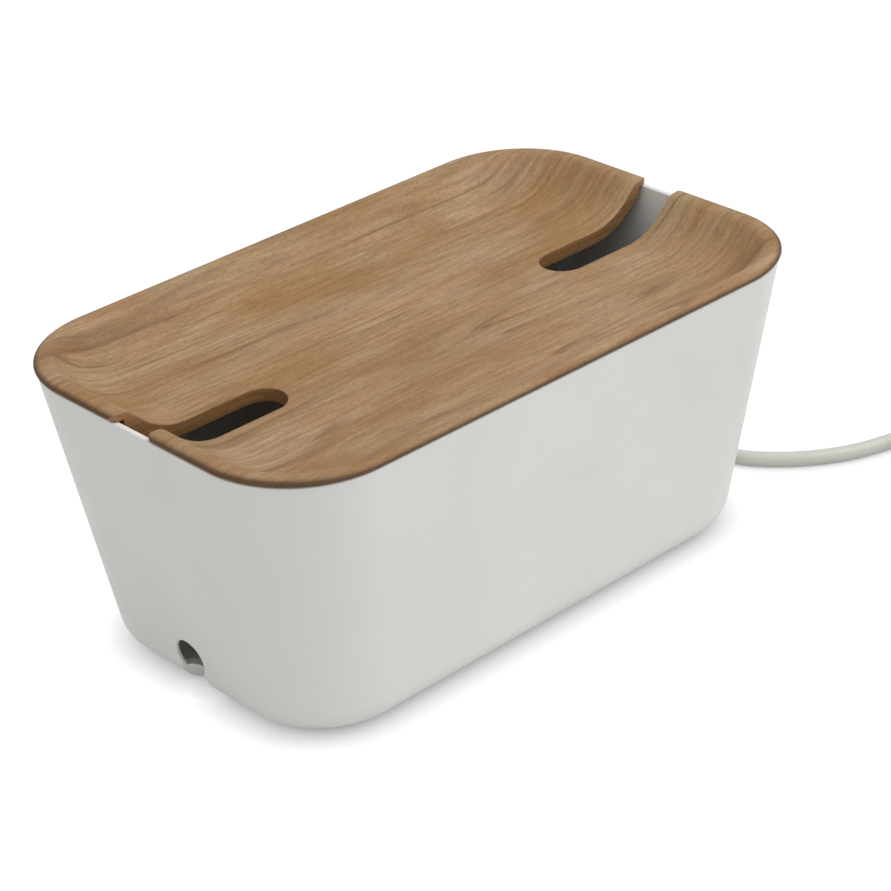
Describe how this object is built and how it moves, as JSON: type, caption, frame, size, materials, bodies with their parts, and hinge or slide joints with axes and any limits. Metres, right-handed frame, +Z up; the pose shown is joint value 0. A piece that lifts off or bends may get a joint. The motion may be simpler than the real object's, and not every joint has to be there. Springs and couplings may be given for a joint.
{
  "type": "cable management box",
  "caption": "White tub with leaning walls and a dished, slotted wooden lid, hiding a mains power strip whose lead leaves low in one end.",
  "frame": {"origin": "on the floor under the middle of the box", "axes": "+X along the box towards the end that the mains lead leaves, +Y across it, +Z up"},
  "size_m": [0.4515, 0.2861, 0.1344],
  "materials": {
    "tub_white": "satin, moulded",
    "foot_rubber": "matte",
    "lid_wood": "satin lacquer over oak-coloured veneer, grain along X",
    "casing_white": "semi-gloss, moulded",
    "socket_white": "semi-gloss, moulded",
    "contact_brass": "stamped sheet",
    "earth_metal": "plated sheet",
    "rocker_red": "translucent gloss",
    "lamp_amber": "clear",
    "clamp_black": "matte",
    "screw_steel": "zinc plated",
    "wire_insulation": "brown, blue and green-yellow",
    "cord_white": "satin flexible sheath",
    "tie_black": "hook-and-loop strap",
    "plug_white": "semi-gloss, moulded",
    "pin_nickel": "nickel plated"
  },
  "bodies": {
    "box": {"tub": "tub_white", "feet": "foot_rubber", "strip_base": "casing_white", "strip_cover": "casing_white", "socket_1": "socket_white", "socket_2": "socket_white", "socket_3": "socket_white", "socket_4": "socket_white", "live_bar": "contact_brass", "neutral_bar": "contact_brass", "earth_bar": "earth_metal", "switch_frame": "socket_white", "switch_lamp": "lamp_amber", "switch_contacts": "contact_brass", "cord_clamp": "clamp_black", "clamp_screws": "screw_steel", "cover_screws": "screw_steel", "strip_pads": "foot_rubber", "strain_relief": "cord_white", "wires": "wire_insulation", "cord_inner": "cord_white", "mains_cord": "cord_white", "cord_coil": "cord_white", "coil_tie": "tie_black", "cord_tail": "cord_white", "plug_body": "plug_white", "plug_pins": "pin_nickel", "plug_earth": "earth_metal"},
    "lid": {"lid": "lid_wood"},
    "rocker": {"switch_rocker": "rocker_red"}
  },
  "joints": [
    {"name": "lid_lift", "type": "slide", "parent": "box", "child": "lid", "axis": [0, 0, 1], "range_m": [0, 0.2]},
    {"name": "rocker_turn", "type": "hinge", "parent": "box", "child": "rocker", "pos_m": [0.072, 0.004, 0.0386], "axis": [1, 0, 0], "range_deg": [0, 18]}
  ]
}
